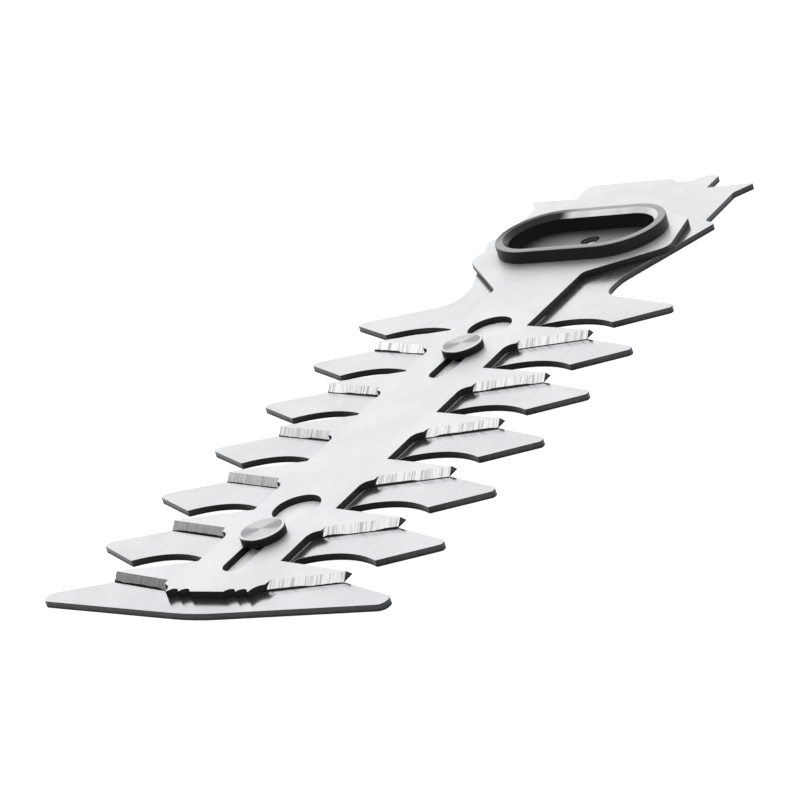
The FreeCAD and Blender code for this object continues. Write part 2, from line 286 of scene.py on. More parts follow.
@dataclass(frozen=True)
class Effect:
    """A shader node group that several materials share."""

    name: str
    inputs: tuple[str, ...]
    outputs: tuple[str, ...]

    def tree(self) -> bpy.types.NodeTree:
        """Give the group's tree, which the first call builds.

        Returns:
            The node tree.
        """
        known = bpy.data.node_groups.get(self.name)
        if known:
            return known
        tree = bpy.data.node_groups.new(self.name, "ShaderNodeTree")
        for name in self.inputs:
            tree.interface.new_socket(name, in_out="INPUT", socket_type="NodeSocketFloat")
        for name in self.outputs:
            tree.interface.new_socket(name, in_out="OUTPUT", socket_type="NodeSocketFloat")
        graph = Graph(tree)
        exits = tree.nodes.new("NodeGroupOutput")
        for name, socket in self.draw(graph, tree.nodes.new("NodeGroupInput")).items():
            graph.feed(exits.inputs[name], socket)
        return tree

    def draw(self, graph: Graph, given: bpy.types.Node) -> dict[str, Socket]:
        """Add the group's nodes.

        Args:
            graph: The group's graph.
            given: The node that holds the group's inputs.

        Returns:
            The sockets for the outputs, by name.
        """
        raise NotImplementedError


class RolledGrain(Effect):
    """Fine lines that rolling and brushing leave along a sheet, with cloudy patches under them."""

    STRETCH = (1.0, 0.02, 1.0)
    FLECK_SCALE = 0.6
    LINE_SHARE = 0.6

    def draw(self, graph: Graph, given: bpy.types.Node) -> dict[str, Socket]:
        """Stretch noise along the blade and lay it over broad clouds.

        Args:
            graph: The group's graph.
            given: The node that holds the group's inputs.

        Returns:
            The sockets for the outputs, by name.
        """
        place = graph.add("TexCoord").outputs["Object"]
        along = graph.vector("MULTIPLY", place, self.STRETCH).outputs["Vector"]
        lines = graph.noise(along, given.outputs["Lines"], detail=4.0, rough=0.7)
        fleck_scale = graph.math("MULTIPLY", given.outputs["Lines"], self.FLECK_SCALE)
        flecks = graph.noise(place, fleck_scale, detail=3.0)
        clouds = graph.noise(place, given.outputs["Clouds"], detail=3.0, rough=0.6)
        fine = graph.weigh(lines, flecks, self.LINE_SHARE)
        return {"Fine": graph.spread(fine), "Cloudy": graph.spread(clouds)}


class CutLines(Effect):
    """Lines that a punch or a grinding wheel leaves across an edge."""

    UPWARD = 0.04
    BROAD_SCALE = 0.22
    FINE_SHARE = 0.7
    SPAN = (0.34, 0.66)

    def draw(self, graph: Graph, given: bpy.types.Node) -> dict[str, Socket]:
        """Squeeze noise so that it changes along the edge and hardly through it.

        Args:
            graph: The group's graph.
            given: The node that holds the group's inputs.

        Returns:
            The sockets for the outputs, by name.
        """
        place = graph.add("TexCoord").outputs["Object"]
        share = graph.add("CombineXYZ")
        share.inputs["X"].default_value = 1.0
        graph.feed(share.inputs["Y"], given.outputs["Turn"])
        share.inputs["Z"].default_value = self.UPWARD
        across = graph.vector("MULTIPLY", place, share.outputs["Vector"]).outputs["Vector"]
        fine = graph.noise(across, given.outputs["Lines"], detail=2.0, rough=0.6)
        broad_scale = graph.math("MULTIPLY", given.outputs["Lines"], self.BROAD_SCALE)
        broad = graph.noise(across, broad_scale, detail=1.0)
        return {"Mask": graph.spread(graph.weigh(fine, broad, self.FINE_SHARE), *self.SPAN)}


class EdgeWear(Effect):
    """A broken line of bare material along sharp edges."""

    SAMPLES = 6
    LIKENESS = (0.985, 0.88)
    BREAK_SPAN = (0.35, 0.6)
    THINNEST = 0.25

    def draw(self, graph: Graph, given: bpy.types.Node) -> dict[str, Socket]:
        """Find edges by how far a rounded normal leaves the true one, and break the line up.

        Args:
            graph: The group's graph.
            given: The node that holds the group's inputs.

        Returns:
            The sockets for the outputs, by name.
        """
        rounded = graph.add("Bevel", samples=self.SAMPLES)
        graph.feed(rounded.inputs["Radius"], given.outputs["Width"])
        true = graph.add("NewGeometry").outputs["Normal"]
        likeness = graph.vector("DOT_PRODUCT", rounded.outputs["Normal"], true).outputs["Value"]
        edge = graph.spread(likeness, *self.LIKENESS)
        place = graph.add("TexCoord").outputs["Object"]
        breaks = graph.noise(place, given.outputs["Breaks"], detail=3.0)
        broken = graph.remap(breaks, *self.BREAK_SPAN, self.THINNEST, 1.0)
        return {"Mask": graph.math("MULTIPLY", edge, broken)}


class MiddleStrip(Effect):
    """A strip along the middle of a blade, between two places on its length."""

    def draw(self, graph: Graph, given: bpy.types.Node) -> dict[str, Socket]:
        """Fade the strip out to both sides and close it at both ends.

        Args:
            graph: The group's graph.
            given: The node that holds the group's inputs.

        Returns:
            The sockets for the outputs, by name.
        """
        place = graph.add("SeparateXYZ")
        graph.feed(place.inputs["Vector"], graph.add("TexCoord").outputs["Object"])
        across = graph.math("ABSOLUTE", place.outputs["X"])
        inside = graph.remap(across, given.outputs["Inner"], given.outputs["Outer"], 1.0, 0.0)
        first, last = given.outputs["First"], given.outputs["Last"]
        started = graph.math("ADD", first, STRIP_FADE_MM * MM)
        ending = graph.math("SUBTRACT", last, STRIP_FADE_MM * MM)
        after = graph.spread(place.outputs["Y"], first, started)
        before = graph.remap(place.outputs["Y"], ending, last, 1.0, 0.0)
        return {"Mask": graph.math("MULTIPLY", inside, graph.math("MULTIPLY", after, before))}


ROLLED_GRAIN = RolledGrain("Rolled Grain", ("Lines", "Clouds"), ("Fine", "Cloudy"))
CUT_LINES = CutLines("Cut Lines", ("Lines", "Turn"), ("Mask",))
EDGE_WEAR = EdgeWear("Edge Wear", ("Width", "Breaks"), ("Mask",))
MIDDLE_STRIP = MiddleStrip("Middle Strip", ("First", "Last", "Inner", "Outer"), ("Mask",))


@dataclass(frozen=True)
class Finish:
    """What all finishes have: a name, a metal share, a sheen and a share of their bump that shows."""

    name: str
    metallic: float = 1.0
    specular: float = 0.5
    bump: float = 0.5

    def material(self) -> bpy.types.Material:
        """Give the finish's material, which the first call builds.

        Returns:
            The material.
        """
        known = bpy.data.materials.get(self.name)
        if known:
            return known
        material = bpy.data.materials.new(self.name)
        material.use_nodes = True
        material.node_tree.nodes.clear()
        graph = Graph(material.node_tree)
        shader = graph.add("BsdfPrincipled")
        shader.inputs["Metallic"].default_value = self.metallic
        shader.inputs["Specular IOR Level"].default_value = self.specular
        self.paint(graph, shader)
        graph.feed(graph.add("OutputMaterial").inputs["Surface"], shader.outputs["BSDF"])
        return material

    def paint(self, graph: Graph, shader: bpy.types.Node) -> None:
        """Feed the shader's colour, roughness and normal.

        Args:
            graph: The material's graph.
            shader: Its Principled BSDF.
        """
        raise NotImplementedError


@dataclass(frozen=True)
class SheetFinish(Finish):
    """Satin rolled sheet steel, with painted shade round the drive and a rubbed track where it has them.
    """

    metallic: float = 0.8
    light: Colour = (0.67, 0.68, 0.695)
    dark: Colour = (0.56, 0.57, 0.585)
    painted_collar_shade: Colour = (0.22, 0.222, 0.225)
    collar_shade_rough: float = 0.5
    collar_shade_reach_mm: tuple[float, float] = (0.0, 0.0)
    rubbed: Colour = (0.95, 0.95, 0.955)
    rubbed_metallic: float = 0.15
    rubbed_rough: float = 0.6
    track_mm: tuple[float, float] = (0.0, 0.0)
    track_reach_mm: tuple[float, float] = (7.5, 9.0)
    rough: tuple[float, float] = (0.40, 0.52)
    lines: float = 5200.0
    clouds: float = 90.0
    grain_share: float = 0.55
    thinnest_collar_shade: float = 0.6
    relief: float = 4.0e-6

    def paint(self, graph: Graph, shader: bpy.types.Node) -> None:
        """Tint the steel by clouds and grain, and let the grain bend its normal.

        Args:
            graph: The material's graph.
            shader: Its Principled BSDF.
        """
        grain = graph.group(ROLLED_GRAIN, Lines=self.lines, Clouds=self.clouds)
        fine, cloudy = grain.outputs["Fine"], grain.outputs["Cloudy"]
        tone = graph.weigh(fine, cloudy, self.grain_share)
        steel = graph.blend(tone, self.dark, self.light)
        reach = graph.vector("LENGTH", graph.add("TexCoord").outputs["Object"]).outputs["Value"]
        # Painted shade: the sheet darkens round the drive, where the collar stands over it, patchy by
        # the clouds.
        inner, outer = (edge * MM for edge in self.collar_shade_reach_mm)
        collar_shade = graph.remap(reach, inner, outer, 1.0, 0.0)
        collar_shade = graph.math("MULTIPLY", collar_shade, graph.between(cloudy, self.thinnest_collar_shade, 1.0))
        strip = graph.group(MIDDLE_STRIP, First=self.track_mm[0] * MM, Last=self.track_mm[1] * MM,
                            Inner=self.track_reach_mm[0] * MM, Outer=self.track_reach_mm[1] * MM)
        track = strip.outputs["Mask"]
        worn = graph.blend(track, steel, self.rubbed)
        bare_rough = graph.between(tone, self.rough[1], self.rough[0])
        worn_rough = graph.between(track, bare_rough, self.rubbed_rough)
        metal = graph.between(track, self.metallic, self.rubbed_metallic)
        graph.feed(shader.inputs["Base Color"], graph.blend(collar_shade, worn, self.painted_collar_shade))
        graph.feed(shader.inputs["Metallic"], metal)
        graph.feed(shader.inputs["Roughness"], graph.between(collar_shade, worn_rough, self.collar_shade_rough))
        graph.feed(shader.inputs["Normal"], graph.bump(fine, self.relief, self.bump))


@dataclass(frozen=True)
class ShearedFinish(Finish):
    """A stamped wall: a burnished band that the punch left over a dull torn one, with painted shade in
    the throats between the teeth.
    """

    bump: float = 0.6
    band: Colour = (0.20, 0.21, 0.22)
    torn: Colour = (0.055, 0.058, 0.062)
    painted_throat_shade: Colour = (0.012, 0.012, 0.013)
    band_low_mm: float = 0.35
    band_high_mm: float = 0.75
    wander_mm: float = 0.25
    line_shade: float = 0.7
    throats_mm: tuple[float, float] = (0.0, 0.0)
    throat_reach_mm: tuple[float, float] = (20.0, 30.0)
    rough: tuple[float, float] = (0.34, 0.55)
    lines: float = 1900.0
    relief: float = 8.0e-6

    def paint(self, graph: Graph, shader: bpy.types.Node) -> None:
        """Split the wall by height, along a border that wanders with the punch lines.

        Args:
            graph: The material's graph.
            shader: Its Principled BSDF.
        """
        lines = graph.group(CUT_LINES, Lines=self.lines, Turn=1.0).outputs["Mask"]
        place = graph.add("SeparateXYZ")
        graph.feed(place.inputs["Vector"], graph.add("TexCoord").outputs["Object"])
        wander = graph.math("MULTIPLY", lines, self.wander_mm * MM)
        level = graph.math("ADD", place.outputs["Z"], wander)
        burnished = graph.spread(level, self.band_low_mm * MM, self.band_high_mm * MM)
        shade = graph.math("MULTIPLY", burnished, graph.between(lines, self.line_shade, 1.0))
        steel = graph.blend(shade, self.torn, self.band)
        # Painted shade: the walls in the throats between the comb's teeth, where the cutter's teeth
        # overhang, go towards near black.
        throats = graph.group(MIDDLE_STRIP, First=self.throats_mm[0] * MM, Last=self.throats_mm[1] * MM,
                              Inner=self.throat_reach_mm[0] * MM, Outer=self.throat_reach_mm[1] * MM)
        graph.feed(shader.inputs["Base Color"], graph.blend(throats.outputs["Mask"], steel, self.painted_throat_shade))
        graph.feed(shader.inputs["Roughness"], graph.between(burnished, self.rough[1], self.rough[0]))
        graph.feed(shader.inputs["Normal"], graph.bump(lines, self.relief, self.bump))


@dataclass(frozen=True)
class GroundFinish(Finish):
    """A ground cutting bevel with the wheel's lines up its slope and a painted shadow along its foot,
    where the tooth meets the comb.
    """

    bump: float = 0.7
    light: Colour = (0.95, 0.955, 0.96)
    dark: Colour = (0.52, 0.525, 0.535)
    painted_gap_shade: Colour = (0.02, 0.02, 0.021)
    foot_mm: float = 1.25
    gap_shade_mm: float = 0.26
    gap_shade_clouds: float = 160.0
    gap_shade_span: tuple[float, float] = (0.42, 0.58)
    thinnest_gap_shade: float = 0.3
    gap_shade_fade: float = 0.8
    rough: tuple[float, float] = (0.26, 0.36)
    lines: float = 5200.0
    turn: float = 0.02
    streak_full: float = 0.55
    relief: float = 1.6e-6

    def paint(self, graph: Graph, shader: bpy.types.Node) -> None:
        """Darken the steel along the wheel's lines, and paint a shadow of uneven height up from the
        bevel's foot.

        Args:
            graph: The material's graph.
            shader: Its Principled BSDF.
        """
        lines = graph.group(CUT_LINES, Lines=self.lines, Turn=self.turn).outputs["Mask"]
        streaks = graph.spread(lines, 0.0, self.streak_full)
        place = graph.add("TexCoord").outputs["Object"]
        height = graph.add("SeparateXYZ")
        graph.feed(height.inputs["Vector"], place)
        # Painted shadow: a dark line of uneven height up from the bevel's foot, where the cutter's tooth
        # meets the comb.
        highest = self.gap_shade_mm * MM
        gap_shade_wander = graph.noise(place, self.gap_shade_clouds)
        gap_shade_reach = graph.remap(gap_shade_wander, *self.gap_shade_span, self.thinnest_gap_shade * highest, highest)
        above = graph.math("SUBTRACT", height.outputs["Z"], self.foot_mm * MM)
        gap_shaded = graph.remap(graph.math("DIVIDE", above, gap_shade_reach), self.gap_shade_fade, 1.0, 1.0, 0.0)
        steel = graph.blend(streaks, self.dark, self.light)
        graph.feed(shader.inputs["Base Color"], graph.blend(gap_shaded, steel, self.painted_gap_shade))
        graph.feed(shader.inputs["Roughness"], graph.between(lines, self.rough[1], self.rough[0]))
        graph.feed(shader.inputs["Normal"], graph.bump(lines, self.relief, self.bump))


@dataclass(frozen=True)
class TurnedFinish(Finish):
    """A lathe-turned face with rings round its axis, two fans of painted shade and a painted highlight
    near its edge.
    """

    light: Colour = (0.52, 0.525, 0.535)
    dark: Colour = (0.42, 0.425, 0.435)
    painted_fan_shade: Colour = (0.27, 0.275, 0.285)
    fan_toward: tuple[float, float, float] = (0.85, 0.53, 0.0)
    fan_spread: tuple[float, float] = (0.45, 1.0)
    edge: Colour = (0.70, 0.705, 0.715)
    edge_mm: tuple[float, float] = (3.42, 3.55)
    rough: float = 0.26
    ring_mm: float = 0.16
    relief: float = 4.0e-6
    anisotropy: float = 0.9

    def paint(self, graph: Graph, shader: bpy.types.Node) -> None:
        """Draw uneven rings by their distance from the axis, fans of painted shade by the angle round
        it, and a painted highlight near the rim.

        Args:
            graph: The material's graph.
            shader: Its Principled BSDF.
        """
        place = graph.add("TexCoord").outputs["Object"]
        flat = graph.vector("MULTIPLY", place, (1.0, 1.0, 0.0)).outputs["Vector"]
        reach = graph.vector("LENGTH", flat).outputs["Value"]
        ring = graph.add("CombineXYZ")
        graph.feed(ring.inputs["X"], reach)
        waves = graph.noise(ring.outputs["Vector"], 1.0 / (self.ring_mm * MM))
        rings = graph.spread(waves)
        # Painted shade: two dark fans across the face, fixed to the rivet, stand in for the dark sectors
        # that a turned face reflects.
        outward = graph.vector("NORMALIZE", flat).outputs["Vector"]
        facing = graph.vector("DOT_PRODUCT", outward, self.fan_toward).outputs["Value"]
        fans = graph.spread(graph.math("MULTIPLY", facing, facing), *self.fan_spread)
        # Painted highlight: a light ring just inside the rim.
        painted_rim_highlight = graph.spread(reach, *(edge * MM for edge in self.edge_mm))
        shaded = graph.blend(fans, graph.blend(rings, self.dark, self.light), self.painted_fan_shade)
        graph.feed(shader.inputs["Base Color"], graph.blend(painted_rim_highlight, shaded, self.edge))
        shader.inputs["Roughness"].default_value = self.rough
        shader.inputs["Anisotropic"].default_value = self.anisotropy
        tangent = graph.add("Tangent", direction_type="RADIAL", axis="Z")
        graph.feed(shader.inputs["Tangent"], tangent.outputs["Tangent"])
        graph.feed(shader.inputs["Normal"], graph.bump(rings, self.relief, self.bump))


@dataclass(frozen=True)
class BlackenedFinish(Finish):
    """Blackened steel, worn through along its edges, with a painted highlight over one side where it has
    a span.
    """

    bump: float = 0.3
    coat: Colour = (0.009, 0.009, 0.010)
    bare_and_highlight: Colour = (0.50, 0.505, 0.515)
    edge_share: float = 0.12
    lit_side_toward: tuple[float, float, float] = (0.75, -0.66, 0.0)
    lit_side_span_mm: tuple[float, float] = (100.0, 101.0)
    rough: tuple[float, float] = (0.30, 0.42)
    wear_mm: float = 0.14
    wear_breaks: float = 420.0
    grain: float = 2600.0
    clouds: float = 160.0
    thinnest_lit_side: float = 0.82
    relief: float = 2.0e-6

    def paint(self, graph: Graph, shader: bpy.types.Node) -> None:
        """Let the steel show through the coat along the edges, and paint a highlight over one side,
        under a fine grain.

        Args:
            graph: The material's graph.
            shader: Its Principled BSDF.
        """
        place = graph.add("TexCoord").outputs["Object"]
        spark = graph.noise(place, self.grain)
        cloudy = graph.group(ROLLED_GRAIN, Lines=self.grain, Clouds=self.clouds).outputs["Cloudy"]
        edges = graph.group(EDGE_WEAR, Width=self.wear_mm * MM, Breaks=self.wear_breaks).outputs["Mask"]
        # Painted highlight: one side of the collar is lightened, fading out across the span and patchy
        # by the clouds; the broken line along the edges is wear.
        side = graph.vector("DOT_PRODUCT", place, self.lit_side_toward).outputs["Value"]
        rubbed = graph.spread(side, *(edge * MM for edge in self.lit_side_span_mm))
        patchy_lit_side = graph.math("MULTIPLY", rubbed, graph.between(cloudy, self.thinnest_lit_side, 1.0))
        shown = graph.math("MAXIMUM", patchy_lit_side, graph.math("MULTIPLY", edges, self.edge_share))
        graph.feed(shader.inputs["Base Color"], graph.blend(shown, self.coat, self.bare_and_highlight))
        graph.feed(shader.inputs["Metallic"], graph.math("MULTIPLY", shown, self.metallic))
        graph.feed(shader.inputs["Roughness"], graph.between(cloudy, *self.rough))
        graph.feed(shader.inputs["Normal"], graph.bump(spark, self.relief, self.bump))


COMB_SHEET = SheetFinish("comb_sheet", metallic=0.97, light=(0.62, 0.63, 0.645),
                         dark=(0.505, 0.515, 0.53), rough=(0.16, 0.20), relief=1.0e-6,
                         collar_shade_reach_mm=(9.0, 19.0), track_mm=(-132.0, -34.0))
# Painted shade: the comb's dark wall colours stand in for the dark that sheared steel walls reflect.
COMB_WALL = ShearedFinish("comb_wall", band=(0.046, 0.048, 0.051), torn=(0.028, 0.029, 0.031),
                          throats_mm=(-128.0, -36.0))
CUTTER_SHEET = SheetFinish("cutter_sheet", light=(0.725, 0.735, 0.75), dark=(0.665, 0.675, 0.69))
# Painted shade: the cutter's walls are near black and hardly glossy.
CUTTER_WALL = ShearedFinish("cutter_wall", metallic=0.0, specular=0.15, band=(0.012, 0.012, 0.013),
                            torn=(0.007, 0.007, 0.008), band_low_mm=1.6, band_high_mm=2.1)
CUTTER_BEVEL = GroundFinish("cutter_bevel")
RIVET_FACE = TurnedFinish("rivet_face")
# Painted shade: the sides of the rivet heads are near black and hardly glossy.
RIVET_SIDE = ShearedFinish("rivet_side", metallic=0.0, specular=0.12, band=(0.011, 0.011, 0.012),
                           torn=(0.005, 0.005, 0.006), band_low_mm=3.4, band_high_mm=4.1)
COLLAR_WALL = BlackenedFinish("collar_wall", specular=0.13)
# The rim and the bevel carry a painted highlight that fades out towards the collar's left end.
COLLAR_RIM = BlackenedFinish("collar_rim", specular=0.3, bare_and_highlight=(0.30, 0.303, 0.31),
                             lit_side_span_mm=(-12.5, -6.0))
COLLAR_BEVEL = BlackenedFinish("collar_bevel", metallic=0.15, specular=0.3, bare_and_highlight=(0.95, 0.955, 0.96),
                               lit_side_toward=(0.95, -0.31, 0.0), lit_side_span_mm=(-10.0, -7.0),
                               rough=(0.24, 0.34))


def soften(bends: list[tuple[float, float, float]], steps: int = 5) -> list[tuple[float, float]]:
    """Round the bends of an open profile.

    Args:
        bends: Distance, height and radius of each bend.
        steps: Steps along each rounded bend.

    Returns:
        The profile's points.
    """
    points = []
    for number, (across, height, radius) in enumerate(bends):
        here = Vector((across, height))
        if radius <= 0.0 or number in (0, len(bends) - 1):
            points.append((across, height))
            continue
        back = (Vector(bends[number - 1][:2]) - here).normalized()
        ahead = (Vector(bends[number + 1][:2]) - here).normalized()
        half = back.angle(ahead) / 2
        middle = here + (back + ahead).normalized() * (radius / math.sin(half))
        start = here + back * (radius / math.tan(half)) - middle
        turn = (math.pi - 2 * half) * (-1.0 if back.cross(ahead) > 0 else 1.0)
        for step in range(steps + 1):
            angle = turn * step / steps
            spot = Vector((start.x * math.cos(angle) - start.y * math.sin(angle),
                           start.x * math.sin(angle) + start.y * math.cos(angle)))
            points.append(tuple(middle + spot))
    return points


def skin(name: str, loops: list[list[Vector]], kinds: list[int], capped: bool) -> bpy.types.Object:
    """Join closed loops of points into a mesh.

    Args:
        name: The new object's name.
        loops: The loops, each with the same count of points.
        kinds: The material slot of the faces from each loop to the next.
        capped: True to close the first and the last loop, False to join the last to the first.

    Returns:
        The new object, linked to the scene.
    """
    shape = bmesh.new()
    rings = [[shape.verts.new(point) for point in loop] for loop in loops]
    pairs = list(zip(rings, rings[1:] if capped else rings[1:] + rings[:1]))
    for (near, far), kind in zip(pairs, kinds):
        for here, after in zip(range(len(near)), [*range(1, len(near)), 0]):
            face = shape.faces.new((near[here], near[after], far[after], far[here]))
            face.material_index = kind
    if capped:
        shape.faces.new(reversed(rings[0])).material_index = kinds[0]
        shape.faces.new(rings[-1]).material_index = kinds[-1]
    bmesh.ops.recalc_face_normals(shape, faces=shape.faces)
    for face in shape.faces:
        face.smooth = True
    mesh = bpy.data.meshes.new(name)
    shape.to_mesh(mesh)
    shape.free()
    mesh.set_sharp_from_angle(angle=SHARP_ANGLE)
    piece = bpy.data.objects.new(name, mesh)
    bpy.context.scene.collection.objects.link(piece)
    return piece


def settle(piece: bpy.types.Object, body: str, node: str, finishes: list[Finish]) -> None:
    """Give a piece its finishes and put it in the place of a node of the frame.

    Args:
        piece: The new object.
        body: The body that it rides on.
        node: The node that it stands for.
        finishes: The finishes, in the order of the piece's material slots.
    """
    for finish in finishes:
        piece.data.materials.append(finish.material())
    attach(piece, body)
    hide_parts(node)
    LOG.info("%s stands for %s on %s", piece.name, node, body)


@dataclass
class DressedBlade:
    """A stamped blade, with the frame's own outline and softened edges."""

    node: str
    body: str
    slot: str
    finishes: list[Finish]
    edge_mm: float = 0.05
    edge_steps: int = 2

    def build(self) -> bpy.types.Object:
        """Copy the node's shape, sort its faces and break its sharp edges.

        Returns:
            The finished piece.
        """
        shape = bmesh.new()
        shape.from_mesh(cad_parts[self.node].data)
        bmesh.ops.remove_doubles(shape, verts=shape.verts, dist=WELD)
        bmesh.ops.dissolve_limit(shape, angle_limit=FLAT_ANGLE, verts=shape.verts, edges=shape.edges)
        for face in shape.faces:
            face.material_index = self.surface(face.normal).value
            face.smooth = True
        mesh = bpy.data.meshes.new(f"dressed_{self.node}")
        shape.to_mesh(mesh)
        shape.free()
        mesh.set_sharp_from_angle(angle=SHARP_ANGLE)
        piece = bpy.data.objects.new(f"dressed_{self.node}", mesh)
        bpy.context.scene.collection.objects.link(piece)
        self.break_edges(piece)
        settle(piece, self.body, self.node, self.finishes)
        return piece

    def surface(self, normal: Vector) -> Surface:
        """Tell what kind of face looks along a normal.

        Args:
            normal: The face's normal.

        Returns:
            The kind of face.
        """
        if abs(normal.z) > LEVEL_SHARE:
            return Surface.SHEET
        return Surface.WALL if abs(normal.z) < UPRIGHT_SHARE else Surface.BEVEL

    def break_edges(self, piece: bpy.types.Object) -> None:
        """Put a fine round on every sharp edge, and let the large faces keep their own normals.

        Args:
            piece: The dressed blade.
        """
        bevel = piece.modifiers.new("broken_edges", "BEVEL")
        bevel.limit_method = "ANGLE"
        bevel.angle_limit = SHARP_ANGLE
        bevel.width = self.edge_mm * MM
        bevel.segments = self.edge_steps
        flat = piece.modifiers.new("flat_faces", "WEIGHTED_NORMAL")
        flat.mode = "FACE_AREA"
        flat.weight = LARGEST_FACES
        flat.keep_sharp = True


@dataclass
class GuideRivet:
    """A shoulder rivet turned from bar: tail, shank and a wide flat head."""

    node: str
    body: str = "comb"
    slot: str = "rivet_steel"
    shank_mm: float = 2.0
    sink_mm: float = 0.6
    head_thickness_mm: float = 1.6
    rim_mm: float = 0.28
    dish_mm: float = 0.05
    dish_reach_mm: float = 2.9
    dish_slope_mm: float = 0.3
    dish_rounds_mm: tuple[float, float] = (0.15, 0.2)
    under_round_mm: float = 0.12
    tail_round_mm: float = 0.05
    core_mm: float = 0.02
    face_share: float = 0.8
    sides: int = 128

    def build(self) -> bpy.types.Object:
        """Turn the profile round the rivet's axis.

        Returns:
            The finished piece.
        """
        low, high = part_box(self.node)
        axis = (low + high) / 2
        head = (high.x - low.x) / 2 / MM
        top = high.z / MM
        under = top - self.head_thickness_mm
        dish = top - self.dish_mm
        outer_round, inner_round = self.dish_rounds_mm
        profile = soften([(self.core_mm, 0.0, 0.0),
                          (self.shank_mm + self.sink_mm, 0.0, self.tail_round_mm),
                          (self.shank_mm, self.sink_mm, self.tail_round_mm),
                          (self.shank_mm, under, 0.0),
                          (head, under, self.under_round_mm),
                          (head, top, self.rim_mm),
                          (self.dish_reach_mm, top, outer_round),
                          (self.dish_reach_mm - self.dish_slope_mm, dish, inner_round),
                          (self.core_mm, dish, 0.0)])
        loops = [[self.spot(reach, height, side) for side in range(self.sides)]
                 for reach, height in profile]
        on_face = [height > top - self.rim_mm * self.face_share for _, height in profile]
        kinds = [RivetSurface.FACE.value if near and far else RivetSurface.SIDE.value
                 for near, far in zip(on_face, on_face[1:])]
        piece = skin(f"turned_{self.node}", loops, kinds, capped=True)
        piece.location = (axis.x, axis.y, 0.0)
        settle(piece, self.body, self.node, [RIVET_FACE, RIVET_SIDE])
        return piece

    def spot(self, reach_mm: float, height_mm: float, side: int) -> Vector:
        """Place one point of the profile at one of the sides."""
        angle = 2 * math.pi * side / self.sides
        return Vector((reach_mm * math.cos(angle), reach_mm * math.sin(angle), height_mm)) * MM


@dataclass
class DriveCollar:
    """The oblong ring that the eccentric runs in, seated in the cutter's cut-out."""

    node: str = "drive_collar"
    body: str = "cutter"
    slot: str = "collar_steel"
    rim_mm: float = 1.5
    bevel_mm: float = 1.0
    step_mm: float = 0.8
    ring_height_mm: float = 2.55
    edge_mm: float = 0.25
    crease_mm: float = 0.12
    seat_round_mm: float = 0.08
    foot_round_mm: float = 0.05
    seam_mm: tuple[float, float] = (0.4, 0.35)
    rim_share: float = 0.6
    bevel_slack_mm: float = 0.2
    sides: int = 40

    def build(self) -> bpy.types.Object:
        """Run the ring's section round the oblong.

        Returns:
            The finished piece.
        """
        low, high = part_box(self.node)
        top, foot = high.z / MM, low.z / MM
        seat = top - self.ring_height_mm
        bore = self.rim_mm + self.bevel_mm
        seam_start, seam_end = (seat + rise for rise in self.seam_mm)
        section = soften([(0.0, seam_start, 0.0),
                          (0.0, top, self.edge_mm),
                          (self.rim_mm, top, self.crease_mm),
                          (bore, top - self.bevel_mm, self.crease_mm),
                          (bore, foot, self.foot_round_mm),
                          (self.step_mm, foot, self.foot_round_mm),
                          (self.step_mm, seat, self.foot_round_mm),
                          (0.0, seat, self.seat_round_mm),
                          (0.0, seam_end, 0.0)])
        loops = [self.oblong(low, high, inset, height) for inset, height in section]
        pairs = zip(section, section[1:] + section[:1])
        kinds = [self.surface(near, far, top).value for near, far in pairs]
        piece = skin("formed_drive_collar", loops, kinds, capped=False)
        settle(piece, self.body, self.node, [COLLAR_WALL, COLLAR_RIM, COLLAR_BEVEL])
        return piece

    def surface(self, near: tuple[float, float], far: tuple[float, float], top: float) -> CollarSurface:
        """Tell what kind of face joins two points of the section.

        Args:
            near: Inset and height of the first point, in millimetres.
            far: Inset and height of the second point, in millimetres.
            top: The height of the collar's top, in millimetres.

        Returns:
            The kind of face.
        """
        inset, height = (min(pair) for pair in zip(near, far))
        if height > top - self.rim_share * self.edge_mm:
            return CollarSurface.RIM
        if height > top - self.bevel_mm and inset >= self.rim_mm - self.bevel_slack_mm:
            return CollarSurface.BEVEL
        return CollarSurface.WALL

    def oblong(self, low: Vector, high: Vector, inset_mm: float, height_mm: float) -> list[Vector]:
        """Give one loop round the collar.

        Args:
            low: The lowest corner of the collar's box.
            high: The highest corner of the collar's box.
            inset_mm: How far inside the outer wall the loop runs.
            height_mm: The loop's height.

        Returns:
            The loop's points.
        """
        centre = (low + high) / 2
        outer = (high.y - low.y) / 2
        straight = (high.x - low.x) / 2 - outer
        radius = outer - inset_mm * MM
        points = []
        for end in (1, -1):
            for side in range(self.sides + 1):
                angle = math.pi * (side / self.sides - 0.5)
                points.append(Vector((centre.x + end * (straight + radius * math.cos(angle)),
                                      centre.y + end * radius * math.sin(angle), height_mm * MM)))
        return points


@dataclass(frozen=True)
class SkyPatch:
    """A round patch of the sky that is dimmer or brighter than the rest."""

    toward: tuple[float, float, float]
    start: float
    full: float
    share: float

    def level(self, graph: Graph, looking: Socket) -> Socket:
        """Give the patch's share of the sky's light, by how closely a ray looks at its middle.

        Args:
            graph: The world's graph.
            looking: The socket of the ray's direction.

        Returns:
            The share's socket.
        """
        middle = tuple(Vector(self.toward).normalized())
        facing = graph.vector("DOT_PRODUCT", looking, middle).outputs["Value"]
        return graph.remap(facing, self.start, self.full, 1.0, self.share)


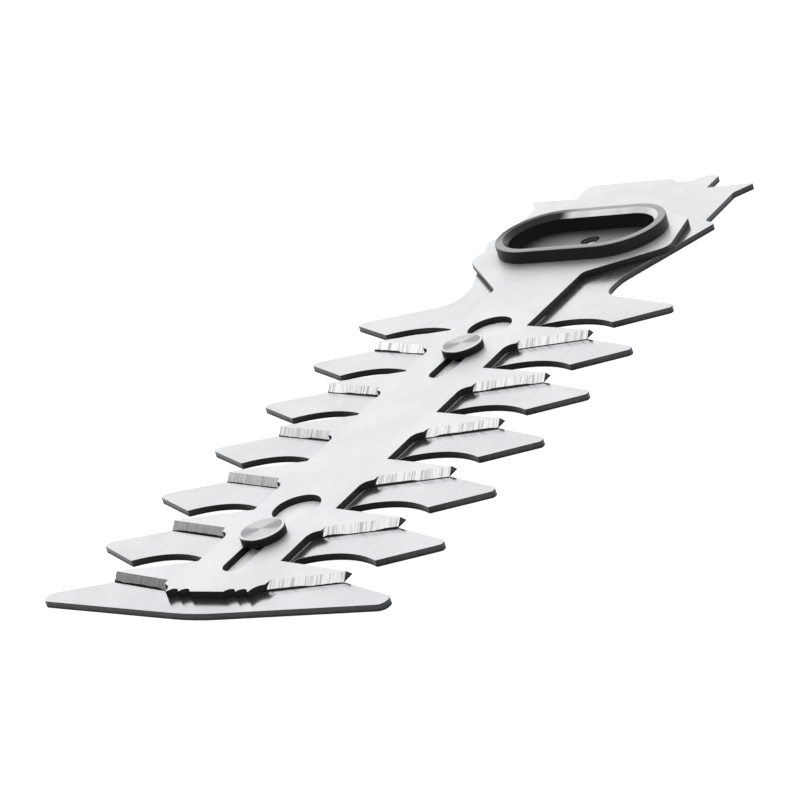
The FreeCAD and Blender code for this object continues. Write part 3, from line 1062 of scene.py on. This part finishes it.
@dataclass(frozen=True)
class Panel:
    """A soft lamp with a flat bright face."""

    name: str
    place: tuple[float, float, float]
    aim: tuple[float, float, float]
    size: tuple[float, float]
    radiance: float

    def hang(self) -> None:
        """Hang the lamp, with its face square to its aim and its width level."""
        data = bpy.data.lights.new(self.name, "AREA")
        data.shape = "RECTANGLE"
        data.size, data.size_y = self.size
        data.energy = self.radiance * math.pi * self.size[0] * self.size[1]
        lamp = bpy.data.objects.new(self.name, data)
        lamp.location = self.place
        lamp.rotation_mode = "QUATERNION"
        lamp.rotation_quaternion = Vector(self.aim).to_track_quat("-Z", "Y")
        bpy.context.scene.collection.objects.link(lamp)


# The polished comb mirrors the dim side and the bright back of the sky.
DIM_SIDE = SkyPatch(toward=(-0.85, -0.35, 0.40), start=0.80, full=0.93, share=0.05)
BRIGHT_BACK = SkyPatch(toward=(-0.52, 0.80, 0.34), start=0.55, full=0.90, share=1.31)
LEFT_PANEL = Panel("left_panel", place=(-0.30, -0.098, 0.22), aim=(1.0, 0.0, 0.0),
                   size=(0.106, 0.22), radiance=1.45)


@dataclass
class Studio:
    """The floor, the sky, the lamps and the camera round the blade."""

    floor_half: float = 3.0
    floor_drop_mm: float = 0.02
    floor_colour: Colour = (0.90, 0.90, 0.90)
    floor_rough: float = 0.9
    floor_lift: float = 0.58
    sky_bright: float = 1.0
    eye: tuple[float, float, float] = (0.26410, -0.42369, 0.17224)
    eye_turn_deg: tuple[float, float, float] = (68.0861, 16.3228, 30.5857)
    eye_near: float = 0.01
    lens: float = 122.27
    patches: list[SkyPatch] = field(default_factory=list)
    panels: list[Panel] = field(default_factory=list)

    def build(self) -> None:
        """Set up the whole studio."""
        self.lay_floor()
        self.paint_sky()
        for panel in self.panels:
            panel.hang()
        self.place_camera()
        bpy.context.scene.view_settings.view_transform = "Standard"
        LOG.info("studio ready")

    def lay_floor(self) -> None:
        """Lay a pale floor just under the blade, white to the eye and still able to take a shadow."""
        shape = bmesh.new()
        bmesh.ops.create_grid(shape, x_segments=1, y_segments=1, size=self.floor_half)
        mesh = bpy.data.meshes.new("floor")
        shape.to_mesh(mesh)
        shape.free()
        floor = bpy.data.objects.new("floor", mesh)
        floor.location.z = -self.floor_drop_mm * MM
        bpy.context.scene.collection.objects.link(floor)
        material = bpy.data.materials.new("pale_floor")
        material.use_nodes = True
        graph = Graph(material.node_tree)
        shader = material.node_tree.nodes["Principled BSDF"]
        shader.inputs["Base Color"].default_value = opaque(self.floor_colour)
        shader.inputs["Roughness"].default_value = self.floor_rough
        shader.inputs["Specular IOR Level"].default_value = 0.0
        shader.inputs["Emission Color"].default_value = opaque(WHITE)
        seen = self.seen(graph)
        graph.feed(shader.inputs["Emission Strength"], graph.math("MULTIPLY", seen, self.floor_lift))
        mesh.materials.append(material)

    def seen(self, graph: Graph) -> Socket:
        """Give 1 for rays that show the background itself: the eye's, reflected and refracted ones.

        Args:
            graph: The graph of the material that asks.

        Returns:
            The socket of the 1 or 0.
        """
        rays = graph.add("LightPath")
        shown = graph.math("MAXIMUM", rays.outputs["Is Camera Ray"], rays.outputs["Is Glossy Ray"])
        return graph.math("MAXIMUM", shown, rays.outputs["Is Transmission Ray"])

    def paint_sky(self) -> None:
        """Make a bright sky with its patches, plain white to the eye."""
        world = bpy.data.worlds.new("studio")
        world.use_nodes = True
        bpy.context.scene.world = world
        graph = Graph(world.node_tree)
        background = world.node_tree.nodes["Background"]
        looking = graph.add("TexCoord").outputs["Generated"]
        level: object = self.sky_bright
        for patch in self.patches:
            level = graph.math("MULTIPLY", level, patch.level(graph, looking))
        rays = graph.add("LightPath")
        level = graph.math("MAXIMUM", level, rays.outputs["Is Camera Ray"])
        graph.feed(background.inputs["Strength"], level)
        background.inputs["Color"].default_value = opaque(WHITE)

    def place_camera(self) -> None:
        """Look at the blade as the photograph does."""
        data = bpy.data.cameras.new("eye")
        data.lens = self.lens
        data.clip_start = self.eye_near
        camera = bpy.data.objects.new("eye", data)
        camera.location = self.eye
        camera.rotation_euler = [math.radians(angle) for angle in self.eye_turn_deg]
        bpy.context.scene.collection.objects.link(camera)
        bpy.context.scene.camera = camera


def main() -> None:
    """Build every piece in the frame, then the studio."""
    logging.basicConfig(level=logging.INFO)
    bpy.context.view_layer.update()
    DressedBlade("lower_blade", "comb", "comb_steel", [COMB_SHEET, COMB_WALL, COMB_SHEET]).build()
    DressedBlade("upper_blade", "cutter", "cutter_steel",
                 [CUTTER_SHEET, CUTTER_WALL, CUTTER_BEVEL]).build()
    for node in ("front_guide_rivet", "rear_guide_rivet"):
        GuideRivet(node).build()
    DriveCollar().build()
    Studio(patches=[DIM_SIDE, BRIGHT_BACK], panels=[LEFT_PANEL]).build()


if __name__ == "__main__":
    main()
